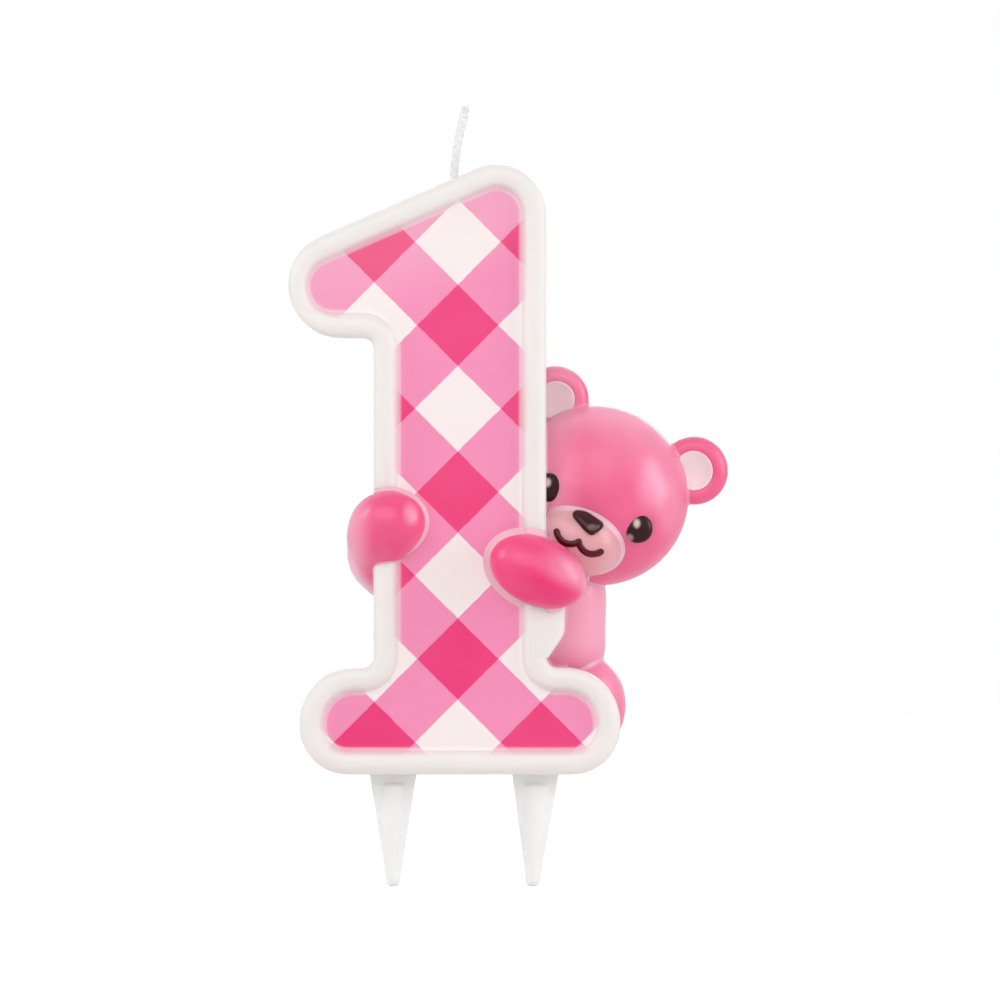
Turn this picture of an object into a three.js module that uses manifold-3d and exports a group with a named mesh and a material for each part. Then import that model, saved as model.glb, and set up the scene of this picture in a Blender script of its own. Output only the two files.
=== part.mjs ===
// A number-one birthday candle: a white wax numeral with a raised rim and a printed film in its
// recess, a small wax bear that hugs it from behind, a cotton wick and two plastic picks.
//
// Millimetres, +Z up, front towards -Y. The origin is the middle of the flat underside of the
// numeral, which rests on the cake; the picks reach down from there. Left is -X, seen from the front.
import * as THREE from "three";
import { mergeVertices } from "three/addons/utils/BufferGeometryUtils.js";
import Module from "manifold-3d";

const wasm = await Module();
wasm.setup();

// Numeral
const NUMERAL_HEIGHT = 80;
const NUMERAL_DEPTH = 10;
const STEM_WIDTH = 22.6;
const BASE_WIDTH = 42;
const BASE_HEIGHT = 14;
const BASE_RADIUS_LOW = 6.3;
const BASE_RADIUS_HIGH = 7.2;
const FLAG_REACH = 22.5; // how far the flag's round end reaches to the left of the origin
const FLAG_UNDERSIDE = 57.3;
const FLAG_RADIUS = 6.87;
const FLAG_TIGHTENING = 0.05; // how much extra its radius loses for each millimetre of inset
const SLANT = THREE.MathUtils.degToRad(23.6);
const INNER_FILLET = 1.5;
const RECESS_DEPTH = 1.3;
const RIM_WIDTH = 2.6;
const RECESS_WALL = 1.1; // how far the recess's sloping wall runs inwards from the rim
const FRONT_ROUND = 1.3;
const BACK_ROUND = 0.8;
const CREST_WIDTH = 0.8; // the rim's flat crest, between its rounding and the recess
const CREST_DROP = 0.2; // how much lower the crest ends than it starts
const FILM_THICKNESS = 0.25;
const FILM_CLEARANCE = 0.05;

// Web of wax between the stem and the bear's arm
const WEB_REACH = 2.2;
const WEB_RISE = [14.2, 19.2];
const WEB_FALL = [27, 32];

// Wick
const WICK_RADIUS = 0.65;
const WICK_BOTTOM = 5;
const WICK_ROUTE = [
  [0, 0, 20],
  [-0.4, 0, 50],
  [-0.8, 0, 72],
  [-0.8, 0, 78.5],
  [-0.5, -0.1, 81.6],
  [0, -0.2, 84.3],
  [0.7, -0.3, 87.2],
];

// Picks
const PICKS = [
  { name: "pick_left", x: -8.8, lean: 0 },
  { name: "pick_right", x: 9.9, lean: THREE.MathUtils.degToRad(1.5) },
];
const PICK_LENGTH = 14.7; // below the underside
const PICK_INSET = 9; // inside the wax
const PICK_WIDTH = 6.2; // at the underside
const PICK_STUB_WIDTH = 5;
const PICK_TIP_WIDTH = 1.6;
const BLADE_THICKNESS = 1.2;
const CORE_RADIUS = 1.75;
const CORE_TIP_RADIUS = 0.8;
const CORE_TOP = -1.3;
const CORE_CHAMFER = 0.4;

// Bear. Its head, with all that is on it, leans clockwise round the head's centre.
const HEAD_CENTRE = [18.15, 8, 36.65];
const HEAD_LEAN = THREE.MathUtils.degToRad(24.7);
const HEAD_RADII = [12, 10.5, 11.85];
const MUZZLE = { centre: [0.35, -7, -6.25], radii: [5.75, 5, 4.65] };
const NOSE = { centre: [0.35, -11.6, -3.65], radii: [2.1, 1.2, 1.25] };
const EYE = { x: 6.45, z: -1.77, radii: [1.8, 1.1, 1.85] };
const MOUTH = { halfWidth: 3.2, dip: 1, x: 0.25, z: -6.6, radius: 0.4, gap: 0.1, spans: 16 };
const EAR = { y: -0.5, radii: [4.5, 2.1, 4.4], dish: [3, 1.6, 2.7], recess: 0.3 };
const EARS = [
  { word: "left", x: -10.35, z: 9.1 },
  { word: "right", x: 10.3, z: 8.3 },
];
const TORSO = { centre: [12.7, 10.6, 18.7], radii: [6.7, 6, 8.9] };
const TAIL = { centre: [12, 16, 13.2], radii: [2.3, 2.1, 2.3] };
const LEGS = [
  { name: "bear_leg_left", centre: [4.6, 10.4, 8.3], radii: [6.1, 5.2, 6.6] },
  { name: "bear_leg_right", centre: [15.7, 10.2, 8.9], radii: [6.15, 5.2, 7.07] },
];
const ARM_LEFT = {
  route: [
    [8, 10.8, 22],
    [-1, 10.2, 23.2],
    [-7.6, 8.2, 25],
    [-10.4, 4, 27.2],
    [-11, 0.5, 28.8],
    [-10.8, -2, 30.6],
    [-10.1, -4.4, 32.2],
  ],
  radius: 3.4,
  paw: { centre: [-9.3, -5, 33.1], radii: [5, 4, 4.4], lean: 0 },
};
const ARM_RIGHT = {
  route: [
    [13.4, 8.5, 25.2],
    [14, 3.5, 25.8],
    [13.2, -0.5, 26.2],
    [11.6, -3.4, 26.6],
  ],
  radius: 2.7,
  paw: { centre: [10.2, -5.2, 26.65], radii: [6.85, 4.2, 4.35], lean: THREE.MathUtils.degToRad(23.5) },
};

// Gap between a piece and the one that it was cut to fit
const GAP = 0.3;

const HALF_DEPTH = NUMERAL_DEPTH / 2;
const FLOOR_Y = -HALF_DEPTH + RECESS_DEPTH;
const FLOOR_INSET = RIM_WIDTH + RECESS_WALL;
const ARC_STEPS = 7;
const STRAIGHT_STEP = 2.7;
const MID_ROUND = 0.3; // where a rounding's single facet edge lies, as a share of its radius
const FAR = 60;

// How many facets go round each kind of ball, and its rings from pole to pole for each facet
const FACETS = { skull: 30, torso: 26, muzzle: 24, leg: 22, ear: 18, eye: 16, small: 14, tail: 12 };
const RINGS_PER_FACET = 0.6;

// Each tube's steps along its curve and its sides, an even number
const WICK_TUBE = { steps: 24, sides: 10 };
const ARM_TUBE = { steps: 12, sides: 18 };
const MOUTH_TUBE = { steps: 24, sides: 6 };
const CORE_TURN = { tipSteps: 4, sides: 20 };

// Points closer than this, in millimetres, are the same point or lie on the same line
const MERGE_WITHIN = 1e-4;
const ON_EDGE_WITHIN = 0.01;

const wax = (color, roughness) => new THREE.MeshStandardMaterial({ color, roughness, metalness: 0 });
const MATERIALS = {
  whiteWax: wax(0xf4ecea, 0.45),
  print: wax(0xf79ac0, 0.4),
  pinkWax: wax(0xf7709b, 0.4),
  lightWax: wax(0xfbc9cf, 0.45),
  darkPaint: wax(0x2c1512, 0.3),
  cotton: wax(0xf2f1ee, 0.9),
  plastic: wax(0xf1f1f0, 0.35),
};

// Solids ---------------------------------------------------------------------------------------

function toSolid(geometry) {
  const bare = geometry.clone();
  bare.deleteAttribute("normal");
  bare.deleteAttribute("uv");
  const merged = mergeVertices(bare, MERGE_WITHIN);
  return new wasm.Manifold(
    new wasm.Mesh({
      numProp: 3,
      vertProperties: new Float32Array(merged.attributes.position.array),
      triVerts: new Uint32Array(merged.index.array),
    }),
  );
}

function toGeometry(solid) {
  const mesh = solid.getMesh();
  const geometry = new THREE.BufferGeometry();
  geometry.setAttribute("position", new THREE.BufferAttribute(new Float32Array(mesh.vertProperties), 3));
  geometry.setIndex(new THREE.BufferAttribute(new Uint32Array(mesh.triVerts), 1));
  geometry.computeVertexNormals();
  return geometry;
}

// The biggest body of a solid: a cut can leave a sliver beside it.
function biggest(solid) {
  return solid.decompose().sort((a, b) => b.volume() - a.volume())[0];
}

function cutBy(solid, ...cutters) {
  return biggest(cutters.reduce((rest, cutter) => rest.subtract(cutter), solid));
}

function moved(solid, matrix) {
  return solid.transform(matrix.elements);
}

// An ellipsoid, leaning clockwise by `lean` as seen from the front, and `grow` bigger all round.
function blob({ centre, radii, lean = 0 }, grow = 0, steps = FACETS.muzzle) {
  const geometry = new THREE.SphereGeometry(1, steps, Math.round(steps * RINGS_PER_FACET));
  geometry.scale(...radii.map((r) => r + grow));
  geometry.rotateY(lean);
  geometry.translate(...centre);
  return toSolid(geometry);
}

// A round tube along a smooth curve through the points
function tube(points, radius, { steps, sides }) {
  const section = new THREE.Shape().absarc(0, 0, radius, 0, 2 * Math.PI);
  const path = new THREE.CatmullRomCurve3(points.map((p) => new THREE.Vector3(...p)));
  const settings = { extrudePath: path, steps, curveSegments: sides / 2 };
  return toSolid(new THREE.ExtrudeGeometry(section, settings));
}

// Numeral --------------------------------------------------------------------------------------

const FLAG_CENTRE = new THREE.Vector2(-FLAG_REACH + FLAG_RADIUS, FLAG_UNDERSIDE + FLAG_RADIUS);
const SLANT_POINT = new THREE.Vector2(-Math.sin(SLANT), Math.cos(SLANT))
  .multiplyScalar(FLAG_RADIUS)
  .add(FLAG_CENTRE);
const slantHeightAt = (x) => SLANT_POINT.y + (x - SLANT_POINT.x) * Math.tan(SLANT);
const PEAK = slantHeightAt(STEM_WIDTH / 2);
const TOP_RADIUS = (PEAK - NUMERAL_HEIGHT) / (Math.tan(SLANT) + 1 / Math.cos(SLANT) - 1);
const FLAG_TIP = SLANT_POINT.x - (SLANT_POINT.y - FLAG_UNDERSIDE) / Math.tan(SLANT);

// The sharp corners of the numeral, anticlockwise from the bottom left, with their fillet radii
const CORNERS = [
  [-BASE_WIDTH / 2, 0, BASE_RADIUS_LOW],
  [BASE_WIDTH / 2, 0, BASE_RADIUS_LOW],
  [BASE_WIDTH / 2, BASE_HEIGHT, BASE_RADIUS_HIGH],
  [STEM_WIDTH / 2, BASE_HEIGHT, INNER_FILLET],
  [STEM_WIDTH / 2, PEAK, TOP_RADIUS],
  [FLAG_TIP, FLAG_UNDERSIDE, FLAG_RADIUS, FLAG_TIGHTENING],
  [-STEM_WIDTH / 2, FLAG_UNDERSIDE, INNER_FILLET],
  [-STEM_WIDTH / 2, BASE_HEIGHT, INNER_FILLET],
  [-BASE_WIDTH / 2, BASE_HEIGHT, BASE_RADIUS_HIGH],
].map(([x, z, radius, tightening = 0]) => ({ at: new THREE.Vector2(x, z), radius, tightening }));

// Each corner's arc with the outline moved inwards by `inset`: its centre, radius and angles
function filletArcs(inset) {
  const count = CORNERS.length;
  const edges = CORNERS.map(({ at }, i) => {
    const along = CORNERS[(i + 1) % count].at.clone().sub(at).normalize();
    const inwards = new THREE.Vector2(-along.y, along.x);
    return { along, inwards };
  });
  return CORNERS.map(({ at, radius, tightening }, i) => {
    const before = edges[(i + count - 1) % count];
    const after = edges[i];
    const turn = Math.atan2(before.along.cross(after.along), before.along.dot(after.along));
    const side = Math.sign(turn);
    const toEdges = radius - tightening * inset;
    const arcRadius = toEdges - side * inset;
    // The centre lies `toEdges` from both edges of the outermost outline
    const reach = (side * toEdges) / Math.cos(turn / 2);
    const towards = before.inwards.clone().add(after.inwards).normalize();
    const centre = at.clone().addScaledVector(towards, reach);
    const start = Math.atan2(-side * before.inwards.y, -side * before.inwards.x);
    return { centre, radius: arcRadius, start, turn };
  });
}

function arcPoints({ centre, radius, start, turn }) {
  return Array.from({ length: ARC_STEPS + 1 }, (_, k) => {
    const angle = start + (turn * k) / ARC_STEPS;
    return new THREE.Vector2(Math.cos(angle), Math.sin(angle)).multiplyScalar(radius).add(centre);
  });
}

function webReach(z) {
  const rise = THREE.MathUtils.smoothstep(z, ...WEB_RISE);
  const fall = THREE.MathUtils.smoothstep(z, ...WEB_FALL);
  return WEB_REACH * rise * (1 - fall);
}

// The numeral's outline, moved inwards by `inset`. Every inset gives the same number of points.
function numeralOutline(inset) {
  const arcs = filletArcs(inset).map(arcPoints);
  const outerArcs = filletArcs(0).map(arcPoints);
  const points = [];
  arcs.forEach((arc, i) => {
    const next = (i + 1) % arcs.length;
    const length = outerArcs[i][ARC_STEPS].distanceTo(outerArcs[next][0]);
    const pieces = Math.max(1, Math.round(length / STRAIGHT_STEP));
    points.push(...arc);
    for (let k = 1; k < pieces; k++) {
      points.push(arc[ARC_STEPS].clone().lerp(arcs[next][0], k / pieces));
    }
  });
  const webShare = 1 - THREE.MathUtils.smoothstep(inset, 0, RIM_WIDTH);
  const rightEdge = STEM_WIDTH / 2 - inset;
  for (const point of points) {
    if (Math.abs(point.x - rightEdge) < ON_EDGE_WITHIN) point.x += webShare * webReach(point.y);
  }
  return points;
}

// A closed body through rings of points at given depths, from the back (+Y) to the front (-Y)
function loft(rings) {
  const size = rings[0].points.length;
  const positions = rings.flatMap(({ points, y }) => points.flatMap((p) => [p.x, y, p.y]));
  const index = [];
  for (let r = 0; r + 1 < rings.length; r++) {
    for (let i = 0; i < size; i++) {
      const j = (i + 1) % size;
      const [a, b, c, d] = [r * size + i, r * size + j, (r + 1) * size + i, (r + 1) * size + j];
      index.push(a, b, c, b, d, c);
    }
  }
  const front = (rings.length - 1) * size;
  for (const [a, b, c] of THREE.ShapeUtils.triangulateShape(rings[0].points, [])) {
    index.push(a, c, b);
  }
  for (const [a, b, c] of THREE.ShapeUtils.triangulateShape(rings.at(-1).points, [])) {
    index.push(front + a, front + b, front + c);
  }
  const geometry = new THREE.BufferGeometry();
  geometry.setAttribute("position", new THREE.Float32BufferAttribute(positions, 3));
  geometry.setIndex(index);
  return toSolid(geometry);
}

const ring = (inset, y) => ({ points: numeralOutline(inset), y });

// The rim's crest is round; the recess's wall slopes down to a flat floor
function numeralCasting() {
  return loft([
    ring(BACK_ROUND, HALF_DEPTH),
    ring(MID_ROUND * BACK_ROUND, HALF_DEPTH - MID_ROUND * BACK_ROUND),
    ring(0, HALF_DEPTH - BACK_ROUND),
    ring(0, -HALF_DEPTH + FRONT_ROUND),
    ring(MID_ROUND * FRONT_ROUND, -HALF_DEPTH + MID_ROUND * FRONT_ROUND),
    ring(FRONT_ROUND, -HALF_DEPTH),
    ring(FRONT_ROUND + CREST_WIDTH, -HALF_DEPTH + CREST_DROP),
    ring(FLOOR_INSET, FLOOR_Y),
  ]);
}

// What the numeral takes up, `GAP` bigger, as the cutter for the pieces that fit around it
function numeralCutter() {
  const outside = loft([ring(-GAP, HALF_DEPTH + GAP), ring(-GAP, -HALF_DEPTH - GAP)]);
  const recess = loft([
    ring(FLOOR_INSET + GAP, FLOOR_Y - FILM_THICKNESS - FILM_CLEARANCE - GAP),
    ring(RIM_WIDTH, -HALF_DEPTH - 2 * GAP),
  ]);
  return outside.subtract(recess);
}

function printFilm() {
  const back = FLOOR_Y - FILM_CLEARANCE;
  const inset = FLOOR_INSET + FILM_CLEARANCE;
  return loft([ring(inset, back), ring(inset, back - FILM_THICKNESS)]);
}

// Wick -----------------------------------------------------------------------------------------

function wick(grow = 0) {
  return tube([[0, 0, WICK_BOTTOM - grow], ...WICK_ROUTE], WICK_RADIUS + grow, WICK_TUBE);
}

// Picks ----------------------------------------------------------------------------------------

// A flat blade whose stub sits in the wax, with a round core down its middle
function pick(grow = 0) {
  const half = (width) => width / 2 + grow;
  const blade = new THREE.Shape([
    new THREE.Vector2(-half(PICK_STUB_WIDTH), PICK_INSET + grow),
    new THREE.Vector2(-half(PICK_WIDTH), 0),
    new THREE.Vector2(-half(PICK_TIP_WIDTH), -PICK_LENGTH + CORE_TIP_RADIUS),
    new THREE.Vector2(half(PICK_TIP_WIDTH), -PICK_LENGTH + CORE_TIP_RADIUS),
    new THREE.Vector2(half(PICK_WIDTH), 0),
    new THREE.Vector2(half(PICK_STUB_WIDTH), PICK_INSET + grow),
  ]);
  const thickness = BLADE_THICKNESS + 2 * grow;
  const flat = new THREE.ExtrudeGeometry(blade, { depth: thickness, bevelEnabled: false });
  flat.translate(0, 0, -thickness / 2);
  flat.rotateX(Math.PI / 2);

  const profile = new THREE.Path();
  profile.moveTo(0, -PICK_LENGTH);
  profile.absarc(0, -PICK_LENGTH + CORE_TIP_RADIUS, CORE_TIP_RADIUS, -Math.PI / 2, 0);
  profile.lineTo(CORE_RADIUS, CORE_TOP - CORE_CHAMFER);
  profile.lineTo(CORE_RADIUS - CORE_CHAMFER, CORE_TOP);
  profile.lineTo(0, CORE_TOP);
  const core = new THREE.LatheGeometry(profile.getPoints(CORE_TURN.tipSteps), CORE_TURN.sides);
  core.rotateX(Math.PI / 2);
  return toSolid(flat).add(toSolid(core));
}

function pickPlace({ x, lean }) {
  return new THREE.Matrix4().makeRotationY(lean).setPosition(x, 0, 0);
}

// Bear -----------------------------------------------------------------------------------------

const HEAD = { centre: HEAD_CENTRE, radii: HEAD_RADII, lean: HEAD_LEAN };
const HEAD_PLACE = new THREE.Matrix4().makeRotationY(HEAD_LEAN).setPosition(...HEAD_CENTRE);
const WORLD_TO_HEAD = HEAD_PLACE.clone().invert();
const LOCAL_HEAD = { centre: [0, 0, 0], radii: HEAD_RADII };

// How far forward an ellipsoid's surface lies at (x, z)
function frontOf({ centre, radii }, x, z) {
  const across = ((x - centre[0]) / radii[0]) ** 2 + ((z - centre[2]) / radii[2]) ** 2;
  return centre[1] - radii[1] * Math.sqrt(Math.max(0, 1 - across));
}

function arm({ route, radius, paw }, grow = 0) {
  const limb = tube(route, radius + grow, ARM_TUBE);
  const shoulder = blob({ centre: route[0], radii: [radius, radius, radius] }, grow, FACETS.small);
  return limb.add(shoulder).add(blob(paw, grow));
}

// The pieces on the head are made in the head's own frame
function mouth() {
  const points = Array.from({ length: MOUTH.spans + 1 }, (_, k) => {
    const share = (2 * k) / MOUTH.spans - 1;
    const x = MOUTH.x + MOUTH.halfWidth * share;
    const z = MOUTH.z - MOUTH.dip * Math.abs(Math.sin(Math.PI * share));
    return [x, frontOf(MUZZLE, x, z) - MOUTH.radius - MOUTH.gap, z];
  });
  return tube(points, MOUTH.radius, MOUTH_TUBE);
}

function eye(side) {
  const x = side * EYE.x;
  return blob({ centre: [x, frontOf(LOCAL_HEAD, x, EYE.z), EYE.z], radii: EYE.radii }, 0, FACETS.eye);
}

// A flattened ball with a round dish in its front, leaning outwards along the head's radius
function earParts({ x, z }) {
  const lean = Math.atan2(x, z);
  const centre = [x, EAR.y, z];
  const dishCentre = [x, EAR.y - EAR.radii[1], z];
  const dish = blob({ centre: dishCentre, radii: EAR.dish, lean }, 0, FACETS.small);
  const filling = EAR.dish.map((r) => r - GAP);
  const front = new THREE.BoxGeometry(FAR, FAR, FAR);
  front.translate(0, dishCentre[1] + EAR.recess - FAR / 2, 0);
  const skull = blob(LOCAL_HEAD, GAP, FACETS.skull);
  const ear = cutBy(blob({ centre, radii: EAR.radii, lean }, 0, FACETS.ear), dish, skull);
  const lining = blob({ centre: dishCentre, radii: filling, lean }, 0, FACETS.small);
  const inner = cutBy(lining, toSolid(front), skull);
  return { ear, inner };
}

// Assembly -------------------------------------------------------------------------------------

const candle = new THREE.Group();

function place(parent, name, solid, material) {
  const mesh = new THREE.Mesh(toGeometry(solid), material);
  mesh.name = name;
  parent.add(mesh);
  return mesh;
}

const { whiteWax, print, pinkWax, lightWax, darkPaint, cotton, plastic } = MATERIALS;

const sockets = PICKS.map((spec) => moved(pick(GAP), pickPlace(spec)));
place(candle, "numeral_body", cutBy(numeralCasting(), wick(GAP), ...sockets), whiteWax);
place(candle, "print_film", printFilm(), print);
place(candle, "wick", wick(), cotton);
for (const spec of PICKS) {
  const mesh = place(candle, spec.name, pick(), plastic);
  mesh.position.set(spec.x, 0, 0);
  mesh.rotation.y = spec.lean;
}

const numeral = numeralCutter();
const numeralFromHead = moved(numeral, WORLD_TO_HEAD);
const grownHead = blob(HEAD, GAP, FACETS.skull);
const grownTorso = blob(TORSO, GAP, FACETS.torso);
const grownTail = blob(TAIL, GAP, FACETS.tail);

const armLeft = cutBy(arm(ARM_LEFT), numeral, grownHead, grownTorso);
const armRight = cutBy(arm(ARM_RIGHT), numeral, grownHead, grownTorso);
place(candle, "bear_arm_left", armLeft, pinkWax);
place(candle, "bear_arm_right", armRight, pinkWax);

const torso = blob(TORSO).add(blob(TAIL, 0, FACETS.tail));
const legs = LEGS.map((leg) => cutBy(blob(leg, 0, FACETS.leg), numeral, grownTorso, grownTail));
legs[0] = cutBy(legs[0], blob(LEGS[1], GAP, FACETS.leg));
place(candle, "bear_torso", cutBy(torso, numeral, grownHead), pinkWax);
LEGS.forEach((leg, i) => place(candle, leg.name, legs[i], pinkWax));

const head = new THREE.Group();
head.position.set(...HEAD_CENTRE);
head.rotation.y = HEAD_LEAN;
candle.add(head);

const grownSkull = blob(LOCAL_HEAD, GAP, FACETS.skull);
const grownArm = moved(arm(ARM_RIGHT, GAP), WORLD_TO_HEAD);
const grownMuzzle = blob(MUZZLE, GAP);
const skull = blob(LOCAL_HEAD, 0, FACETS.skull);
place(head, "bear_head", cutBy(skull, numeralFromHead), pinkWax);
place(
  head,
  "bear_muzzle",
  cutBy(blob(MUZZLE), grownSkull, numeralFromHead, grownArm),
  lightWax,
);
place(head, "bear_nose", cutBy(blob(NOSE, 0, FACETS.small), grownMuzzle), darkPaint);
place(head, "bear_mouth", mouth(), darkPaint);
for (const spec of EARS) {
  const { ear, inner } = earParts(spec);
  place(head, `bear_ear_${spec.word}`, cutBy(ear, numeralFromHead), pinkWax);
  place(head, `bear_inner_ear_${spec.word}`, cutBy(inner, numeralFromHead), lightWax);
  const eyeball = cutBy(eye(Math.sign(spec.x)), grownSkull, numeralFromHead, grownMuzzle);
  place(head, `bear_eye_${spec.word}`, eyeball, darkPaint);
}

export default candle;
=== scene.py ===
# The looks of a number-one birthday candle: a white wax numeral with a printed gingham film in its
# rimmed recess, a pink wax bear that hugs the stem, a braided wick and two plastic picks.
# Shapes are worked out in millimetres in the row's frame, front towards -Y, and scaled to metres last.
import math
import bpy
import numpy as np
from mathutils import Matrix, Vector


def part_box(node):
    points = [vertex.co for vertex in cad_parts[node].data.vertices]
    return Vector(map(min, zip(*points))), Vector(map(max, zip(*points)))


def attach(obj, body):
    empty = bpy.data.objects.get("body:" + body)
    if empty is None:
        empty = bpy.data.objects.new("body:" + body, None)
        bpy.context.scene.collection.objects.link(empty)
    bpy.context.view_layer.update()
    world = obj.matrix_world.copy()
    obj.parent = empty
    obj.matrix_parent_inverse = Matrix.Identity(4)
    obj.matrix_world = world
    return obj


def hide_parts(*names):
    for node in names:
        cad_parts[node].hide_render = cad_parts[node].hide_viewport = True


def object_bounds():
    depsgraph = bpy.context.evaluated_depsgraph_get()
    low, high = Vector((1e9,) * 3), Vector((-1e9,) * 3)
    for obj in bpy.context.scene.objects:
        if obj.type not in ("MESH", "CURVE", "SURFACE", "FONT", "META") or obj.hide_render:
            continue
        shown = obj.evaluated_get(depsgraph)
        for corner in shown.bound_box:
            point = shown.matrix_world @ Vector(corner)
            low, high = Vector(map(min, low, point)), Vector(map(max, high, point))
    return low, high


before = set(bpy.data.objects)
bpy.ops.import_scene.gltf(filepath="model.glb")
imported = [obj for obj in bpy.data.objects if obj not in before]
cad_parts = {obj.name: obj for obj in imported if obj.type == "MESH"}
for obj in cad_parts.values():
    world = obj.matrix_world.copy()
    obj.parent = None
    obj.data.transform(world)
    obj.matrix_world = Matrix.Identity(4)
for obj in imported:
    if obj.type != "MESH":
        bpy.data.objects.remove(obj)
CAD_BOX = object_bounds()
MM = 0.001
MAIN = "root"


# Places, from the frame ----------------------------------------------------------------------

def box(node):
    """Lowest and highest corner of a CAD node, in millimetres."""
    low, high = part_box(node)
    return np.array(low) / MM, np.array(high) / MM


# Numeral: its driving dimensions, on the box that the frame gives
NUMERAL_LOW, NUMERAL_HIGH = box("numeral_body")
HEIGHT = 80.0
HALF_DEPTH = (NUMERAL_HIGH[1] - NUMERAL_LOW[1]) / 2
FLAG_REACH = -NUMERAL_LOW[0]
BASE_HALF = NUMERAL_HIGH[0]
STEM_HALF = 11.3
BASE_HEIGHT = 14.0
BASE_RADIUS_LOW = 6.3
BASE_RADIUS_HIGH = 7.2
FLAG_UNDERSIDE = 57.3
FLAG_RADIUS = 6.87
FLAG_TIGHTENING = 0.05
SLANT = math.radians(23.6)
INNER_FILLET = 1.5
FRONT_ROUND = 1.3
RECESS_DEPTH = 1.3
RIM_WIDTH = 2.6
FLOOR_INSET = 3.7
BACK_SINK = 0.2
WEB_REACH = 2.4
WEB_RISE = (14.2, 19.2)
WEB_FALL = (27.0, 32.0)

# Bear
HEAD_LEAN = math.radians(24.7)
HEAD_HALF_WIDTH = 12.1
HEAD_HALF_HEIGHT = 11.9
HEAD_LOW, HEAD_HIGH = box("bear_head")
HEAD_RADII = np.array([HEAD_HALF_WIDTH, (HEAD_HIGH[1] - HEAD_LOW[1]) / 2, HEAD_HALF_HEIGHT])
HEAD_REACH = np.hypot(HEAD_HALF_WIDTH * math.cos(HEAD_LEAN), HEAD_HALF_HEIGHT * math.sin(HEAD_LEAN))
HEAD_CENTRE = (HEAD_LOW + HEAD_HIGH) / 2
HEAD_CENTRE[0] = HEAD_HIGH[0] - HEAD_REACH


# Fields: signed distances in millimetres, negative inside ------------------------------------

def smooth_min(a, b, reach):
    overlap = np.maximum(reach - np.abs(a - b), 0.0) / reach
    return np.minimum(a, b) - overlap**2 * reach / 4


def smooth_max(a, b, reach):
    return -smooth_min(-a, -b, reach)


def smoothstep(value, low, high):
    t = np.clip((value - low) / (high - low), 0.0, 1.0)
    return t * t * (3 - 2 * t)


def leaned(points, centre, lean):
    """Points in the frame of something that leans clockwise, as seen from the front."""
    q = points - centre
    cos, sin = math.cos(lean), math.sin(lean)
    return np.stack([q[:, 0] * cos - q[:, 2] * sin, q[:, 1], q[:, 0] * sin + q[:, 2] * cos], 1)


def ellipsoid(points, centre, radii, lean=0.0):
    q = leaned(points, np.asarray(centre), lean)
    radii = np.asarray(radii)
    near = np.linalg.norm(q / radii, axis=1)
    slope = np.linalg.norm(q / radii**2, axis=1)
    return near * (near - 1) / np.maximum(slope, 1e-9)


STEPS_PER_SPAN = 40
LIMB_STATIONS = 22


def smooth_route(route, count):
    """Catmull-Rom through the route's rows, evenly spaced by their first three numbers."""
    padded = np.concatenate([[2 * route[0] - route[1]], route, [2 * route[-1] - route[-2]]])
    dense = []
    for i in range(1, len(padded) - 2):
        p0, p1, p2, p3 = padded[i - 1:i + 3]
        for t in np.linspace(0, 1, STEPS_PER_SPAN, endpoint=False):
            dense.append(0.5 * (2 * p1 + (p2 - p0) * t + (2 * p0 - 5 * p1 + 4 * p2 - p3) * t**2
                                + (3 * p1 - p0 - 3 * p2 + p3) * t**3))
    dense = np.array(dense + [route[-1]])
    steps = np.linalg.norm(np.diff(dense[:, :3], axis=0), axis=1)
    run = np.concatenate([[0], np.cumsum(steps)])
    at = np.linspace(0, run[-1], count)
    return np.stack([np.interp(at, run, column) for column in dense.T], 1), at


def distance_to_line(points, start, end):
    along = end - start
    share = np.clip((points - start) @ along / (along @ along), 0, 1)
    return np.linalg.norm(points - start - share[:, None] * along, axis=1)


def limb(points, route):
    """A round limb along the route's (x, y, z, radius) rows."""
    stations, _ = smooth_route(np.array(route, float), LIMB_STATIONS)
    field = np.full(len(points), np.inf)
    for start, end in zip(stations, stations[1:]):
        a, along = start[:3], end[:3] - start[:3]
        t = np.clip((points - a) @ along / (along @ along), 0, 1)
        radius = start[3] + (end[3] - start[3]) * t
        field = np.minimum(field, np.linalg.norm(points - a - t[:, None] * along, axis=1) - radius)
    return field


def numeral_corners():
    """The sharp corners, anticlockwise from the bottom left.

    Each has its fillet radius, and how much extra it loses for each millimetre of inset.
    """
    flag_centre = np.array([-FLAG_REACH + FLAG_RADIUS, FLAG_UNDERSIDE + FLAG_RADIUS])
    on_slant = flag_centre + FLAG_RADIUS * np.array([-math.sin(SLANT), math.cos(SLANT)])
    peak = on_slant[1] + (STEM_HALF - on_slant[0]) * math.tan(SLANT)
    top_radius = (peak - HEIGHT) / (math.tan(SLANT) + 1 / math.cos(SLANT) - 1)
    flag_tip = on_slant[0] - (on_slant[1] - FLAG_UNDERSIDE) / math.tan(SLANT)
    return [
        ((-BASE_HALF, 0), BASE_RADIUS_LOW, 0),
        ((BASE_HALF, 0), BASE_RADIUS_LOW, 0),
        ((BASE_HALF, BASE_HEIGHT), BASE_RADIUS_HIGH, 0),
        ((STEM_HALF, BASE_HEIGHT), INNER_FILLET, 0),
        ((STEM_HALF, peak), top_radius, 0),
        ((flag_tip, FLAG_UNDERSIDE), FLAG_RADIUS, FLAG_TIGHTENING),
        ((-STEM_HALF, FLAG_UNDERSIDE), INNER_FILLET, 0),
        ((-STEM_HALF, BASE_HEIGHT), INNER_FILLET, 0),
        ((-BASE_HALF, BASE_HEIGHT), BASE_RADIUS_HIGH, 0),
    ]


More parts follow.
